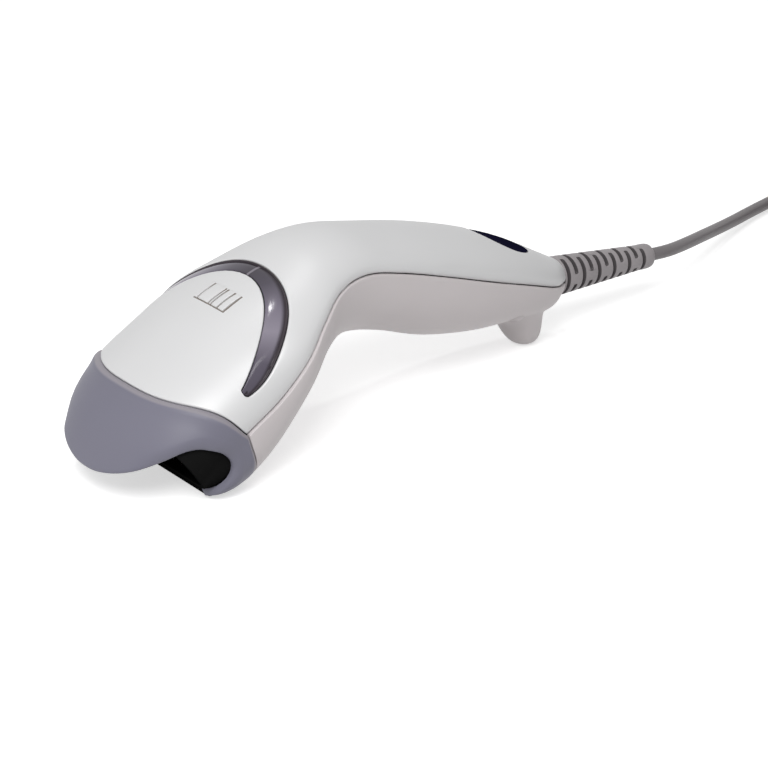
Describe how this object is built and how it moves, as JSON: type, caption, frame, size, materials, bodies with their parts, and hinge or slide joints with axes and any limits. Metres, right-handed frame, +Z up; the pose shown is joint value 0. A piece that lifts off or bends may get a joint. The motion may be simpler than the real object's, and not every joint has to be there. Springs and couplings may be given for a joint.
{
  "type": "handheld barcode scanner",
  "caption": "Corded handheld barcode scanner: hooded nose over a dark window, press panel inside a smoky crescent lens, curved grip with a foot, slotted strain relief, coiled cable and plug.",
  "frame": {"origin": "on the table under the middle of the scanner's body, the cord not counted", "axes": "+X to the right of the nose seen from behind, +Y from the nose to the cord along the body, +Z up, the scanner lying on its chin and foot"},
  "size_m": [0.0709, 0.3672, 0.0551],
  "materials": {
    "silver_shell": "pearly silver paint, satin",
    "warm_grey_shell": "fine matt moulding",
    "bumper": "soft blue-grey moulding",
    "black_plastic": "fine matt black",
    "window": "polished dark filter",
    "smoke": "polished smoky plastic",
    "cable": "soft grey sheath",
    "tie": "woven black strap",
    "board": "green board",
    "steel": "plated",
    "brass": "turned",
    "copper": "wound wire",
    "mirror": "front silvered",
    "cream": "moulded",
    "ribbon": "film"
  },
  "bodies": {
    "housing": {"badge_plate": "black_plastic", "beeper": "black_plastic", "bottom_shell": "warm_grey_shell", "cable_coil": "cable", "cable_lead": "cable", "cable_tail": "cable", "cable_tie": "tie", "cord_connector": "cream", "cord_socket": "black_plastic", "decoder_chip": "black_plastic", "drive_coil": "copper", "engine_chassis": "black_plastic", "engine_screw_left": "steel", "engine_screw_right": "steel", "housing_screw_front": "steel", "housing_screw_rear_left": "steel", "housing_screw_rear_right": "steel", "indicator_lens": "smoke", "inner_cable": "cable", "lamp_left": "cream", "lamp_right": "cream", "laser_clamp": "black_plastic", "laser_module": "brass", "light_sensor": "black_plastic", "main_board": "board", "main_screw_front": "steel", "main_screw_rear": "steel", "nose_bumper": "bumper", "panel_board": "board", "panel_screw_left": "steel", "panel_screw_right": "steel", "pivot_pin": "steel", "plug_grip": "cable", "plug_shell": "steel", "plug_tongue": "cream", "ribbon": "ribbon", "scan_window": "window", "sensor_board": "board", "strain_relief": "cable", "top_shell": "silver_shell", "trigger_switch": "black_plastic", "window_shroud": "black_plastic"},
    "panel": {"trigger_panel": "silver_shell"},
    "plunger": {"switch_plunger": "cream"},
    "mirror": {"scan_mirror": "mirror", "mirror_carrier": "cream", "drive_magnet": "steel"}
  },
  "joints": [
    {"name": "trigger_press", "type": "hinge", "parent": "housing", "child": "panel", "pos_m": [0, -0.0543, 0.03266], "axis": [-1, 0, 0], "range_deg": [0, 2], "stiffness_Nm_per_rad": 1.7},
    {"name": "switch_press", "type": "slide", "parent": "housing", "child": "plunger", "axis": [0, 0.5446, -0.8387], "range_m": [0, 0.0007]},
    {"name": "mirror_swing", "type": "hinge", "parent": "housing", "child": "mirror", "pos_m": [0.00276, -0.04177, 0.02027], "axis": [0, -0.5446, 0.8387], "range_deg": [-8, 8], "stiffness_Nm_per_rad": 0.01}
  ],
  "couplings": [
    {"joint": "switch_press", "follows": "trigger_press", "m_per_rad": 0.018}
  ]
}
